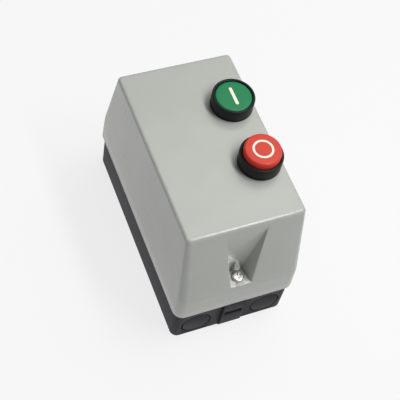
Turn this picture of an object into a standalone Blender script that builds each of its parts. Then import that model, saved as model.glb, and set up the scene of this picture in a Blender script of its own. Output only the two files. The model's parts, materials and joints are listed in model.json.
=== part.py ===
"""Enclosed direct-on-line motor starter for a wall, modelled with Blender 4.5.

The origin is the middle of the back mounting face. +X is to the right, +Y is up towards the start
button, and +Z comes out of the front. All sizes in this file are millimetres, and MM turns them into
Blender's metres when a piece is placed.
"""

from math import cos, pi, radians, sin, tan

import bmesh
import bpy
from mathutils import Matrix, Vector

MM = 0.001
GAP = 0.3  # clearance between pieces that rest on or pass through each other
SIDES = 20  # flats round a small turned piece
BUTTON_SIDES = 32

# Enclosure
RIM_WIDTH = 87.4
RIM_LENGTH = 160.8
RIM_Z = 32.8
BREAK_Z = 53.0
FACE_Z = 110.6
SIDE_DRAFT = radians(2.3)
SKIRT_DRAFT = radians(2.0)
END_SLOPE = radians(13.4)
RIM_RADIUS = 7.0
FACE_RADIUS = 3.2
EDGE_RADIUS = 2.0
LEAST_RADIUS = 0.6
FACE_WALL = 2.6
COVER_WALL = 2.4
SKIRT_WALL = 1.7
BASE_WALL = 2.5
BASE_FLOOR = 3.0
BASE_FOOT_CHAMFER = 0.8
LIP_HEIGHT = 7.2
GASKET_INSET = 0.2
GASKET_WIDTH = 1.3
GASKET_HEIGHT = 1.5
LEDGE_HEIGHT = 1.6

# Channel, seat and screw at each end of the cover
SEAT_Z = 56.0
SEAT_THICKNESS = 2.6
CHANNEL_DEPTH = 12.7
CHANNEL_TOP_BELOW_FACE = 5.1
CHANNEL_SEAT_HALF = 4.7
CHANNEL_TOP_HALF = 14.3
CHANNEL_FLARE = 0.197
COVER_SCREW_HEAD = 3.75
COVER_SCREW_HEIGHT = 1.8
COVER_SCREW_SHANK = 2.0
COVER_SCREW_LENGTH = 12.0
COVER_SCREW_SIDES = 16
PILLAR_RADIUS = 3.8
LUG_HALF = 2.6
LUG_TOP_HALF = 1.0
LUG_DEPTH = 2.8
LUG_TOP_DEPTH = 0.3
LUG_Z = (61.5, 70.0)
LUG_HOLE = 0.6
LUG_HOLE_DEPTH = 2.0

# Base end pads, knockouts and mounting holes
PAD_HALF = 7.8
PAD_PROUD = 2.2
PAD_BELOW_RIM = 0.8
PAD_CHAMFER = (2.0, 4.5)
SLOT_HALF = 6.4
SLOT_Z = (17.5, 22.0)
SLOT_DEPTH = 3.0
KNOCKOUT_X = 25.5
KNOCKOUT_Z = 14.0
KNOCKOUT_RADIUS = 10.0
KNOCKOUT_GROOVE = 0.9
KNOCKOUT_DEPTH = 1.2
KNOCKOUT_SIDES = 24
MOUNT_HOLE = 2.75
MOUNT_HOLE_INSET = 8.4
REST_HEIGHT = 3.0

# Buttons
NUT_TO_WALL = 0.4
START_Y = 24.1
STOP_Y = -23.5
BEZEL_RADIUS = 14.5
BEZEL_HEIGHT = 9.7
BEZEL_FLOOR = 2.0
BEZEL_EDGE = 1.2
NECK_RADIUS = 10.9
NECK_LENGTH = 13.5
NECK_BORE = 8.5
NECK_FLOOR = 2.0
CAP_RADIUS = 12.1
CAP_CLEARANCE = 0.35
START_CAP_TOP = -0.8  # above the bezel
STOP_CAP_TOP = 4.8
BUTTON_TRAVEL = 4.0
STEM_RADIUS = 3.2
NUT_WALL = 1.5
NUT_HEIGHT = 5.0
NUT_SIDES = 16
BUTTON_SPRING_RADIUS = 5.6
SPRING_WIRE = 0.55
SYMBOL_DEPTH = 0.6
SYMBOL_CLEARANCE = 0.08
BAR_LENGTH = 14.3
BAR_WIDTH = 2.1
RING_RADIUS = 7.0
RING_STROKE = 1.8

# What the tub holds
DUCT = 8.2
END_SPACE = 16.5
BLOCK_WIDTH = 16.0
BLOCK_GAP = 1.0
RELAY_LENGTH = 44.0
RELAY_GAP = 1.5
ROOM_UNDER_FACE = 20.0
HOUSING_WALL = 2.5

# Contactor
POLE_MARGIN = 9.0
COIL_SPLIT_Z = 46.0
CORE_BACK = 8.0
CORE_DEPTH = 14.0
CORE_WIDTH = 36.0
CENTRE_LIMB = 10.0
OUTER_LIMB = 6.0
CORE_LIMB = 18.0
BOBBIN_WALL = 1.3
BOBBIN_FLANGE = 1.5
WINDING_BUILD = 4.0
FLANGE_OVERHANG = (5.2, 7.5)
ARMATURE_TRAVEL = 5.5
ARMATURE_LIMB = 5.0
ARMATURE_BACK = 7.0
CARRIER_PLATE = 4.0
CARRIER_HALF_Y = 10.0
STALK_HALF = 3.0
STALK_HEADROOM = 1.5
TAB_HALF = (3.0, 1.8)
TAB_PROUD = 0.6
CONTACT_BELOW_TOP = 26.0
STRIP = 1.5
STRIP_WIDTH = 6.4
TIP_HEIGHT = 1.2
TIP_LENGTH = 3.0
TIP_SHARE = 0.75
BRIDGE_WIDTH = 5.6
BRIDGE_HALF = 12.5
BRIDGE_THICKNESS = 1.5
BRIDGE_HEADROOM = 5.0
CONTACT_REACH = 8.0
SHOULDER_LENGTH = 16.0
SHOULDER_DROP = 16.0
CHAMBER_HALF_Y = 18.0
TERMINAL_INSET = 8.5
POCKET_WIDTH = 9.0
POCKET_DEPTH = 13.5
POCKET_BELOW = 5.0
POCKET_ABOVE = 4.5
TERMINAL_HEAD = 3.25
TERMINAL_HEAD_HEIGHT = 2.4
TERMINAL_SHANK = 1.75
TERMINAL_LENGTH = 8.0
CARRIER_SPRING_RADIUS = 3.0

# Thermal overload relay
RELAY_BELOW_CONTACTOR = 8.0
RELAY_SHOULDER = 12.5
RELAY_SHOULDER_Z = 48.0
MOTOR_STRIP_Z = 38.0
LEAF_THICKNESS = 1.2
LEAF_WIDTH = 5.0
LEAF_FROM_FACE = 9.0
LEAF_FOOT_Z = 17.0
PIN_X = (2.1, 4.0)
SLIDER_Z = (18.5, 22.0)
SLIDER_WIDTH = 9.0
SLIDER_TRAVEL = 2.5
DIAL_RADIUS = 5.5
DIAL_DEPTH = 4.0
DIAL_SLOT = (0.5, 4.0, 1.2)
DIAL_FROM_CORNER = (9.5, 22.0)
WINDOW_SIZE = (17.0, 19.0)
WINDOW_THICKNESS = 1.2
RESET_RADIUS = 2.6
RESET_TRAVEL = 2.5
RELAY_STOP_RADIUS = 3.0
RELAY_STOP_FROM_EDGE = 6.5
RELAY_STOP_PROUD = 6.5
PLUNGER_DEPTH = 10.0

# Start contact block
BLOCK_BELOW_CONTACTOR = 8.0
BLOCK_BEFORE_BUTTON = 20.0
BLOCK_AFTER_BUTTON = 20.0
BLOCK_CHAMBER = 30.0
BLOCK_PLUNGER_RADIUS = 3.0
BLOCK_PLUNGER_PROUD = 5.0
BLOCK_BRIDGE_LENGTH = 24.0
COLLAR = 0.5

# Control wires
WIRE_RADIUS = 1.1
WIRE_ENTRY = 2.0
WIRE_Z = 64.0
WIRE_FROM_FACE = 14.0
STOP_WIRE_PULL = 45.0
COIL_WIRE_PULL = 24.0

# Earth plate
EARTH_X = -20.0
EARTH_BOSS = 5.0
EARTH_BOSS_Z = 8.0
EARTH_SCREW_LENGTH = 6.0
EARTH_PLATE = (16.0, 8.0)

# Worked out from the sizes above
TUB_OUT = SKIRT_WALL + GAP
TUB_IN_X = RIM_WIDTH / 2 - TUB_OUT - BASE_WALL
TUB_IN_Y = RIM_LENGTH / 2 - TUB_OUT - BASE_WALL
LIP_Z = RIM_Z + LIP_HEIGHT
NUT_RADIUS = NECK_RADIUS + GAP + NUT_WALL
FACE_HALF_WIDTH = RIM_WIDTH / 2 - tan(SIDE_DRAFT) * (FACE_Z - RIM_Z)
BUTTON_X = FACE_HALF_WIDTH - COVER_WALL - NUT_TO_WALL - NUT_RADIUS
REST_Z = BASE_FLOOR + REST_HEIGHT
HOUSING_Z = REST_Z + GAP
CONTACTOR_TOP = FACE_Z - FACE_WALL - ROOM_UNDER_FACE
CONTACTOR_X = (-TUB_IN_X + DUCT, TUB_IN_X - DUCT - BLOCK_WIDTH - BLOCK_GAP)
RELAY_Y = (-TUB_IN_Y + END_SPACE, -TUB_IN_Y + END_SPACE + RELAY_LENGTH)
CONTACTOR_Y = (RELAY_Y[1] + RELAY_GAP, TUB_IN_Y - END_SPACE)
MID_X = sum(CONTACTOR_X) / 2
MID_Y = sum(CONTACTOR_Y) / 2
POLE_PITCH = (CONTACTOR_X[1] - CONTACTOR_X[0] - POLE_MARGIN) / 3
POLE_X = [MID_X + POLE_PITCH * step for step in (-1, 0, 1)]
STRIP_Z = CONTACTOR_TOP - CONTACT_BELOW_TOP
RELAY_TOP = CONTACTOR_TOP - RELAY_BELOW_CONTACTOR
BLOCK_TOP = CONTACTOR_TOP - BLOCK_BELOW_CONTACTOR


def material(name, colour, roughness, metallic=0.0, alpha=1.0):
    """Principled material with one colour and finish."""
    made = bpy.data.materials.new(name)
    made.use_nodes = True
    shader = made.node_tree.nodes["Principled BSDF"]
    shader.inputs["Base Color"].default_value = (*colour, 1)
    shader.inputs["Roughness"].default_value = roughness
    shader.inputs["Metallic"].default_value = metallic
    shader.inputs["Alpha"].default_value = alpha
    return made


def solid(bm):
    """Turn a bmesh into an unplaced object in millimetres."""
    bmesh.ops.recalc_face_normals(bm, faces=bm.faces[:])
    mesh = bpy.data.meshes.new("solid")
    bm.to_mesh(mesh)
    bm.free()
    made = bpy.data.objects.new("solid", mesh)
    bpy.context.scene.collection.objects.link(made)
    return made


def about(middle, half):
    """Low and high value at a half width about a middle."""
    return middle - half, middle + half


def block(x, y, z):
    """Box between two values along each axis."""
    bm = bmesh.new()
    bmesh.ops.create_cube(bm, size=1)
    size = Matrix.Diagonal((x[1] - x[0], y[1] - y[0], z[1] - z[0], 1))
    middle = Matrix.Translation((sum(x) / 2, sum(y) / 2, sum(z) / 2))
    bm.transform(middle @ size)
    return solid(bm)


def rod(radius, span, at, axis="Z", sides=SIDES):
    """Round bar along an axis; at holds its other two coordinates."""
    turn = {
        "X": Matrix.Rotation(pi / 2, 4, "Y"),
        "Y": Matrix.Rotation(-pi / 2, 4, "X"),
        "Z": Matrix.Identity(4),
    }[axis]
    middle = list(at)
    middle.insert("XYZ".index(axis), sum(span) / 2)
    bm = bmesh.new()
    bmesh.ops.create_cone(
        bm,
        cap_ends=True,
        segments=sides,
        radius1=radius,
        radius2=radius,
        depth=span[1] - span[0],
        matrix=Matrix.Translation(middle) @ turn,
    )
    return solid(bm)


def turned(profile, at, sides=SIDES):
    """Turn a (radius, height) outline round the vertical line through at.

    An outline whose two ends lie on the line stays open there; any other is closed.
    """
    bm = bmesh.new()
    points = [bm.verts.new((at[0] + r, at[1], z)) for r, z in profile]
    on_axis = profile[0][0] == 0 and profile[-1][0] == 0
    pairs = zip(points, points[1:] if on_axis else points[1:] + points[:1])
    edges = [bm.edges.new(pair) for pair in pairs]
    bmesh.ops.spin(
        bm, geom=points + edges, cent=(*at, 0), axis=(0, 0, 1), angle=2 * pi, steps=sides, use_merge=True
    )
    bmesh.ops.remove_doubles(bm, verts=bm.verts[:], dist=1e-4)
    return solid(bm)


def prism(outline, span, axis="Z"):
    """Pull a flat outline along an axis; its points hold the other two coordinates in order."""
    bm = bmesh.new()
    corners = []
    for point in outline:
        place_at = list(point)
        place_at.insert("XYZ".index(axis), span[0])
        corners.append(bm.verts.new(place_at))
    face = bm.faces.new(corners)
    pulled = bmesh.ops.extrude_face_region(bm, geom=[face])
    along = [0, 0, 0]
    along["XYZ".index(axis)] = span[1] - span[0]
    verts = [item for item in pulled["geom"] if isinstance(item, bmesh.types.BMVert)]
    bmesh.ops.translate(bm, vec=along, verts=verts)
    return solid(bm)


def loft(rings):
    """Skin a closed solid over rings with the same number of points."""
    bm = bmesh.new()
    loops = [[bm.verts.new(point) for point in ring] for ring in rings]
    for low, high in zip(loops, loops[1:]):
        for k in range(len(low)):
            bm.faces.new((low[k - 1], low[k], high[k], high[k - 1]))
    bm.faces.new(loops[0])
    bm.faces.new(loops[-1])
    return solid(bm)


def boolean(target, tool, operation):
    """Join, cut or intersect two solids and drop the tool."""
    modifier = target.modifiers.new("boolean", "BOOLEAN")
    modifier.operation = operation
    modifier.solver = "EXACT"
    modifier.object = tool
    evaluated = target.evaluated_get(bpy.context.evaluated_depsgraph_get())
    mesh = bpy.data.meshes.new_from_object(evaluated)
    target.modifiers.clear()
    target.data = mesh
    bpy.data.objects.remove(tool)
    return target


def join(target, *tools):
    for tool in tools:
        boolean(target, tool, "UNION")
    return target


def cut(target, *tools):
    for tool in tools:
        boolean(target, tool, "DIFFERENCE")
    return target


def joint_point(name, at, parent=None):
    """Empty on a joint's axis, at a point in millimetres of the whole object."""
    empty = bpy.data.objects.new(name, None)
    bpy.context.scene.collection.objects.link(empty)
    empty.parent = parent
    empty.location = Vector(at) * MM - origin_of(parent)
    empty.empty_display_size = 5 * MM
    return empty


def origin_of(parent):
    """Where a chain of parents puts its last object's origin, in metres."""
    total = Vector()
    while parent:
        total += parent.location
        parent = parent.parent
    return total


def place(name, made, finish, parent=None):
    """Name a solid, give it its material, and hang it on its parent's origin."""
    origin = origin_of(parent)
    made.name = name
    made.data.name = name
    made.data.transform(Matrix.Translation(-origin) @ Matrix.Scale(MM, 4))
    made.data.materials.clear()
    made.data.materials.append(finish)
    made.data.shade_smooth()
    made.data.set_sharp_from_angle(angle=radians(35))
    made.parent = parent
    return made


def cover_ring(z, inset=0.0, steps=5):
    """Rounded rectangle of the cover's outside at height z, moved in by inset."""
    rise = max(z - RIM_Z, 0)
    half_x = RIM_WIDTH / 2 - tan(SIDE_DRAFT) * rise - inset
    skirt = tan(SKIRT_DRAFT) * min(rise, BREAK_Z - RIM_Z)
    slope = tan(END_SLOPE) * max(z - BREAK_Z, 0)
    half_y = RIM_LENGTH / 2 - skirt - slope - inset
    share = min(rise / (FACE_Z - RIM_Z), 1)
    radius = max(RIM_RADIUS + (FACE_RADIUS - RIM_RADIUS) * share - inset, LEAST_RADIUS)
    points = []
    for corner in range(4):
        sign_x = 1 if corner in (0, 3) else -1
        sign_y = 1 if corner < 2 else -1
        for step in range(steps + 1):
            angle = (corner + step / steps) * pi / 2
            x = sign_x * (half_x - radius) + radius * cos(angle)
            y = sign_y * (half_y - radius) + radius * sin(angle)
            points.append((x, y, z))
    return points


def end_wall_y(z, inset=0.0):
    """Half length of the cover at height z."""
    return max(y for _, y, _ in cover_ring(z, inset))


def channel(end, grow=0.0):
    """Wedge of the channel in one end of the cover; grown by a wall it is what stays solid around it."""
    seat_back = end_wall_y(SEAT_Z) - CHANNEL_DEPTH - grow
    top_z = FACE_Z - CHANNEL_TOP_BELOW_FACE
    top_back = end_wall_y(top_z) - grow
    reach = RIM_LENGTH / 2 + CHANNEL_DEPTH
    low_z = SEAT_Z - grow * SEAT_THICKNESS / COVER_WALL
    sections = []
    for z, back, half in ((low_z, seat_back, CHANNEL_SEAT_HALF), (top_z, top_back, CHANNEL_TOP_HALF)):
        inner = half + grow
        outer = inner + CHANNEL_FLARE * (reach - back)
        near = end * back
        far = end * reach
        sections.append([(-inner, near, z), (inner, near, z), (outer, far, z), (-outer, far, z)])
    overshoot = (FACE_Z + CHANNEL_DEPTH - top_z) / (top_z - low_z)
    above = [Vector(high) + (Vector(high) - Vector(low)) * overshoot for low, high in zip(*sections)]
    return loft([sections[0], above])


def screw(at, seat_z, head, height, shank, length, sides=10):
    """Pan head screw pointing down, with a cross recess."""
    top = seat_z + height
    profile = [
        (0, top),
        (head * 0.62, top),
        (head * 0.92, top - height * 0.35),
        (head, top - height * 0.7),
        (head, seat_z),
        (shank, seat_z),
        (shank, seat_z - length),
        (0, seat_z - length),
    ]
    body = turned(profile, at, sides)
    arm = head * 0.55
    blade = head * 0.13
    recess = (top - height * 0.55, top + 1)
    across = block((at[0] - arm, at[0] + arm), (at[1] - blade, at[1] + blade), recess)
    along = block((at[0] - blade, at[0] + blade), (at[1] - arm, at[1] + arm), recess)
    return cut(body, join(across, along))


def terminal_screw(at, seat_z, length=TERMINAL_LENGTH):
    """Clamping screw of a terminal."""
    return screw(at, seat_z, TERMINAL_HEAD, TERMINAL_HEAD_HEIGHT, TERMINAL_SHANK, length)


def spring(radius, wire, span, at, turns=4, steps=8):
    """Round wire coiled about a vertical line, with a six-sided section."""
    curve = bpy.data.curves.new("spring", "CURVE")
    curve.dimensions = "3D"
    curve.bevel_depth = wire
    curve.bevel_resolution = 1
    curve.use_fill_caps = True
    count = turns * steps + 1
    line = curve.splines.new("POLY")
    line.points.add(count - 1)
    low = span[0] + wire
    high = span[1] - wire
    for k in range(count):
        angle = 2 * pi * k / steps
        z = low + (high - low) * k / (count - 1)
        line.points[k].co = (at[0] + radius * cos(angle), at[1] + radius * sin(angle), z, 1)
    return as_mesh(curve)


def wire(start, start_pull, end, end_pull, steps=18):
    """Insulated wire on one smooth curve that leaves start along start_pull and arrives along end_pull."""
    curve = bpy.data.curves.new("wire", "CURVE")
    curve.dimensions = "3D"
    curve.bevel_depth = WIRE_RADIUS
    curve.bevel_resolution = 2
    curve.use_fill_caps = True
    line = curve.splines.new("POLY")
    line.points.add(steps)
    for k in range(steps + 1):
        t = k / steps
        at = (
            Vector(start) * (1 + 2 * t) * (1 - t) ** 2
            + Vector(start_pull) * t * (1 - t) ** 2
            + Vector(end) * t**2 * (3 - 2 * t)
            - Vector(end_pull) * t**2 * (1 - t)
        )
        line.points[k].co = (*at, 1)
    return as_mesh(curve)


def as_mesh(curve):
    """Mesh object of a bevelled curve."""
    guide = bpy.data.objects.new("guide", curve)
    bpy.context.scene.collection.objects.link(guide)
    evaluated = guide.evaluated_get(bpy.context.evaluated_depsgraph_get())
    made = bpy.data.objects.new("solid", bpy.data.meshes.new_from_object(evaluated))
    bpy.context.scene.collection.objects.link(made)
    bpy.data.objects.remove(guide)
    return made


for old in list(bpy.data.objects):
    bpy.data.objects.remove(old)

COVER_GREY = material("cover_grey", (0.50, 0.51, 0.48), 0.55)
BASE_GREY = material("base_anthracite", (0.055, 0.055, 0.062), 0.6)
BLACK = material("black_plastic", (0.02, 0.02, 0.022), 0.45)
GREEN = material("green_plastic", (0.03, 0.30, 0.12), 0.35)
RED = material("red_plastic", (0.72, 0.06, 0.03), 0.35)
IVORY = material("ivory_plastic", (0.85, 0.83, 0.72), 0.4)
RUBBER = material("seal_rubber", (0.03, 0.03, 0.03), 0.8)
ZINC = material("zinc_plated_steel", (0.75, 0.75, 0.72), 0.3, 1.0)
SPRING_STEEL = material("spring_steel", (0.6, 0.6, 0.6), 0.25, 1.0)
CORE_STEEL = material("laminated_steel", (0.35, 0.35, 0.36), 0.45, 1.0)
COPPER = material("contact_copper", (0.8, 0.45, 0.25), 0.3, 1.0)
BRASS = material("brass", (0.78, 0.6, 0.3), 0.3, 1.0)
COIL_TAPE = material("coil_tape", (0.45, 0.18, 0.06), 0.5)
HOUSING_GREY = material("housing_dark_grey", (0.10, 0.10, 0.11), 0.5)
HOUSING_LIGHT = material("housing_light_grey", (0.42, 0.43, 0.42), 0.5)
BOBBIN_WHITE = material("bobbin_nylon", (0.7, 0.68, 0.6), 0.5)
BLUE = material("blue_plastic", (0.03, 0.12, 0.45), 0.4)
WIRE_RED = material("wire_insulation", (0.45, 0.03, 0.02), 0.5)
CLEAR = material("clear_window", (0.8, 0.85, 0.85), 0.1, 0.0, 0.35)


def lofted(levels, base=0.0):
    """Solid through cover rings given as (height, inset)."""
    return loft([cover_ring(z, base + inset) for z, inset in levels])


# Screw line and pillar stand just inside the seal
GASKET_OUT = TUB_OUT + GASKET_INSET
GASKET_IN = GASKET_OUT + GASKET_WIDTH
SCREW_Y = end_wall_y(LIP_Z, GASKET_IN) - GAP - PILLAR_RADIUS
PILLAR_TOP = SEAT_Z - SEAT_THICKNESS - GAP


def build_base():
    outside = lofted([(0, BASE_FOOT_CHAMFER), (BASE_FOOT_CHAMFER, 0), (RIM_Z, 0), (LIP_Z, 0)], TUB_OUT)
    hollow = lofted([(BASE_FLOOR, 0), (RIM_Z, 0), (LIP_Z + 1, 0)], TUB_OUT + BASE_WALL)
    tub = cut(outside, hollow)
    end_y = TUB_IN_Y + BASE_WALL
    for end in (-1, 1):
        pad_face = end_y + PAD_PROUD
        pad_inner = end_y - BASE_WALL / 2
        outline = [
            (end * pad_inner, 0),
            (end * (pad_face - PAD_CHAMFER[0]), 0),
            (end * pad_face, PAD_CHAMFER[1]),
            (end * pad_face, RIM_Z - PAD_BELOW_RIM),
            (end * pad_inner, RIM_Z - PAD_BELOW_RIM),
        ]
        join(tub, prism(outline, (-PAD_HALF, PAD_HALF), "X"))
        slot_y = sorted((end * (pad_face - SLOT_DEPTH), end * (pad_face + 1)))
        cut(tub, block((-SLOT_HALF, SLOT_HALF), slot_y, SLOT_Z))
        for x in (-KNOCKOUT_X, KNOCKOUT_X):
            span = sorted((end * (end_y - KNOCKOUT_DEPTH), end * (end_y + 1)))
            groove = rod(KNOCKOUT_RADIUS + KNOCKOUT_GROOVE, span, (x, KNOCKOUT_Z), "Y", KNOCKOUT_SIDES)
            disc = rod(KNOCKOUT_RADIUS, (span[0] - 1, span[1] + 1), (x, KNOCKOUT_Z), "Y", KNOCKOUT_SIDES)
            cut(tub, cut(groove, disc))
        join(tub, rod(PILLAR_RADIUS, (BASE_FLOOR / 2, PILLAR_TOP), (0, end * SCREW_Y)))
        web = sorted((end * SCREW_Y, end * (TUB_IN_Y + BASE_WALL / 2)))
        join(tub, block((-PILLAR_RADIUS / 2, PILLAR_RADIUS / 2), web, (BASE_FLOOR / 2, LIP_Z - GAP)))
        hole_floor = SEAT_Z - COVER_SCREW_LENGTH - 2 * GAP
        cut(tub, rod(COVER_SCREW_SHANK + GAP, (hole_floor, PILLAR_TOP + 1), (0, end * SCREW_Y)))
        for side in (-1, 1):
            hole_x = TUB_IN_X + BASE_WALL - MOUNT_HOLE_INSET
            at = (side * hole_x, end * (TUB_IN_Y - MOUNT_HOLE_INSET))
            cut(tub, rod(MOUNT_HOLE, (-1, BASE_FLOOR + 1), at, sides=16))
    rests = [(CONTACTOR_X, CONTACTOR_Y), (CONTACTOR_X, RELAY_Y), (BLOCK_X, BLOCK_Y)]
    for x_span, y_span in rests:
        for edge, inward in ((y_span[0], 1), (y_span[1], -1)):
            y = sorted((edge + inward * REST_HEIGHT, edge + inward * 3 * REST_HEIGHT))
            rest_x = (x_span[0] + REST_HEIGHT, x_span[1] - REST_HEIGHT)
            join(tub, block(rest_x, y, (BASE_FLOOR / 2, REST_Z)))
    join(tub, rod(EARTH_BOSS, (BASE_FLOOR / 2, EARTH_BOSS_Z), (EARTH_X, EARTH_Y)))
    cut(tub, rod(TERMINAL_SHANK + GAP, (BASE_FLOOR / 2, EARTH_BOSS_Z + 1), (EARTH_X, EARTH_Y), sides=12))
    place("base_tub", tub, BASE_GREY)

    seal_z = (LIP_Z + GAP, LIP_Z + GAP + GASKET_HEIGHT)
    seal = loft([cover_ring(z, GASKET_OUT) for z in seal_z])
    cut(seal, loft([cover_ring(z, GASKET_IN) for z in (seal_z[0] - 1, seal_z[1] + 1)]))
    place("rim_gasket", seal, RUBBER)

    plate_z = EARTH_BOSS_Z + GAP
    long, wide = EARTH_PLATE
    plate = block(about(EARTH_X, long / 2), about(EARTH_Y, wide / 2), (plate_z, plate_z + STRIP))
    cut(plate, rod(TERMINAL_SHANK + GAP, (plate_z - 1, plate_z + 3), (EARTH_X, EARTH_Y), sides=12))
    place("earth_plate", plate, BRASS)
    seat = plate_z + STRIP + GAP
    earth = terminal_screw((EARTH_X, EARTH_Y), seat, EARTH_SCREW_LENGTH)
    place("earth_screw", earth, ZINC)


EARTH_Y = (RELAY_Y[0] - TUB_IN_Y) / 2
BLOCK_X = (CONTACTOR_X[1] + BLOCK_GAP, CONTACTOR_X[1] + BLOCK_GAP + BLOCK_WIDTH)
BLOCK_Y = (START_Y - BLOCK_BEFORE_BUTTON, START_Y + BLOCK_AFTER_BUTTON)


def sealing_lug(end):
    """Wedge on the channel's back with a hole for a sealing wire; it thins out upwards."""
    back = end_wall_y(SEAT_Z) - CHANNEL_DEPTH
    root = back - COVER_WALL / 2
    sections = []
    for z, half, depth in ((LUG_Z[0], LUG_HALF, LUG_DEPTH), (LUG_Z[1], LUG_TOP_HALF, LUG_TOP_DEPTH)):
        front = back + depth
        rear = end * root
        face = end * front
        sections.append([(-half, rear, z), (half, rear, z), (half, face, z), (-half, face, z)])
    hole_y = sorted((end * (back + LUG_DEPTH + 1), end * (back + LUG_DEPTH - LUG_HOLE_DEPTH)))
    return cut(loft(sections), rod(LUG_HOLE, hole_y, (0, LUG_Z[0] + LUG_HALF), "Y", 10))


def build_cover(cover_joint):
    edge = []
    for step in range(1, 5):
        angle = step / 4 * pi / 2
        edge.append((FACE_Z - EDGE_RADIUS + EDGE_RADIUS * sin(angle), EDGE_RADIUS * (1 - cos(angle))))
    cover = lofted([(RIM_Z, 0), (BREAK_Z, 0), (FACE_Z - EDGE_RADIUS, 0)] + edge)
    for end in (-1, 1):
        cut(cover, channel(end))
    ledge_z = LIP_Z + GAP + GASKET_HEIGHT + GAP
    ledge = GASKET_IN
    hollow = lofted(
        [
            (RIM_Z - 1, SKIRT_WALL),
            (ledge_z, SKIRT_WALL),
            (ledge_z, ledge),
            (ledge_z + LEDGE_HEIGHT, ledge),
            (ledge_z + LEDGE_HEIGHT, COVER_WALL),
            (BREAK_Z, COVER_WALL),
            (FACE_Z - FACE_WALL, COVER_WALL),
        ]
    )
    for end in (-1, 1):
        cut(hollow, channel(end, COVER_WALL))
    cut(cover, hollow)
    for end in (-1, 1):
        cut(cover, rod(COVER_SCREW_SHANK + GAP, (PILLAR_TOP - 1, SEAT_Z + 1), (0, end * SCREW_Y), sides=16))
        join(cover, sealing_lug(end))
    for y in (START_Y, STOP_Y):
        through = (FACE_Z - FACE_WALL - 1, FACE_Z + 1)
        cut(cover, rod(NECK_RADIUS + GAP, through, (BUTTON_X, y), sides=BUTTON_SIDES))
    place("cover", cover, COVER_GREY, cover_joint)
    for end, label in ((-1, "bottom"), (1, "top")):
        made = screw(
            (0, end * SCREW_Y),
            SEAT_Z + GAP,
            COVER_SCREW_HEAD,
            COVER_SCREW_HEIGHT,
            COVER_SCREW_SHANK,
            COVER_SCREW_LENGTH,
            COVER_SCREW_SIDES,
        )
        place("cover_screw_" + label, made, ZINC, cover_joint)


def rounded_bar(half_width, half_length, at, span):
    """Bar along Y with round ends."""
    outline = []
    for end in (1, -1):
        for step in range(9):
            angle = (0 if end > 0 else pi) + pi * step / 8
            x = at[0] + half_width * cos(angle)
            outline.append((x, at[1] + end * (half_length - half_width) + half_width * sin(angle)))
    return prism(outline, span)


def ring_bar(outer, inner, at, span):
    """Flat ring."""
    profile = [(inner, span[0]), (outer, span[0]), (outer, span[1]), (inner, span[1])]
    return turned(profile, at, 32)


def build_button(label, y, cap_top, cap_finish, button_joint, cover_joint):
    """One push button: bezel and nut on the cover, cap, symbol, stem and spring on its own slide."""
    at = (BUTTON_X, y)
    top = FACE_Z + GAP + BEZEL_HEIGHT
    floor = FACE_Z + GAP + BEZEL_FLOOR
    neck_end = FACE_Z - NECK_LENGTH
    well = CAP_RADIUS + CAP_CLEARANCE
    bezel = turned(
        [
            (well, top),
            (BEZEL_RADIUS - BEZEL_EDGE, top),
            (BEZEL_RADIUS - BEZEL_EDGE * 0.3, top - BEZEL_EDGE * 0.3),
            (BEZEL_RADIUS, top - BEZEL_EDGE),
            (BEZEL_RADIUS, FACE_Z + GAP),
            (NECK_RADIUS, FACE_Z + GAP),
            (NECK_RADIUS, neck_end),
            (STEM_RADIUS + GAP, neck_end),
            (STEM_RADIUS + GAP, neck_end + NECK_FLOOR),
            (NECK_BORE, neck_end + NECK_FLOOR),
            (NECK_BORE, floor),
            (well, floor),
        ],
        at,
        BUTTON_SIDES,
    )
    place(label + "_bezel", bezel, BLACK, cover_joint)
    nut_z = (FACE_Z - FACE_WALL - GAP - NUT_HEIGHT, FACE_Z - FACE_WALL - GAP)
    nut = rod(NUT_RADIUS, nut_z, at, sides=NUT_SIDES)
    cut(nut, rod(NECK_RADIUS + GAP, (nut_z[0] - 1, nut_z[1] + 1), at, sides=BUTTON_SIDES))
    place(label + "_nut", nut, BLACK, cover_joint)

    crown = top + cap_top
    under = floor + BUTTON_TRAVEL + GAP
    cap = turned(
        [
            (0, crown),
            (CAP_RADIUS - 1.6, crown),
            (CAP_RADIUS - 0.5, crown - 0.4),
            (CAP_RADIUS, crown - 1.5),
            (CAP_RADIUS, under),
            (0, under),
        ],
        at,
        BUTTON_SIDES,
    )
    groove = (crown - SYMBOL_DEPTH - SYMBOL_CLEARANCE, crown + 1)
    inlay = (crown - SYMBOL_DEPTH, crown)
    if label == "start":
        half = (BAR_WIDTH / 2, BAR_LENGTH / 2)
        cut(cap, rounded_bar(half[0] + SYMBOL_CLEARANCE, half[1] + SYMBOL_CLEARANCE, at, groove))
        symbol = rounded_bar(*half, at, inlay)
    else:
        inner = RING_RADIUS - RING_STROKE
        cut(cap, ring_bar(RING_RADIUS + SYMBOL_CLEARANCE, inner - SYMBOL_CLEARANCE, at, groove))
        symbol = ring_bar(RING_RADIUS, inner, at, inlay)
    place(label + "_cap", cap, cap_finish, button_joint)
    place(label + "_symbol", symbol, IVORY, button_joint)

    stem_top = under - GAP
    if label == "start":
        foot = BLOCK_TOP + BLOCK_PLUNGER_PROUD + GAP
        stem = rod(STEM_RADIUS, (foot, stem_top), at)
    else:
        foot = RELAY_TOP + RELAY_STOP_PROUD + GAP
        stem = rod(STEM_RADIUS, (foot, stem_top), at)
        arm = block((RELAY_STOP_X - STEM_RADIUS, BUTTON_X), (y - 2.5, y + 2.5), (foot, foot + 3.5))
        join(stem, arm)
    place(label + "_stem", stem, BLACK, button_joint)
    spring_z = (neck_end + NECK_FLOOR + GAP, under - GAP)
    coil = spring(BUTTON_SPRING_RADIUS, SPRING_WIRE, spring_z, at)
    place(label + "_spring", coil, SPRING_STEEL, cover_joint)


RELAY_STOP_X = CONTACTOR_X[1] - RELAY_STOP_FROM_EDGE


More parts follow.
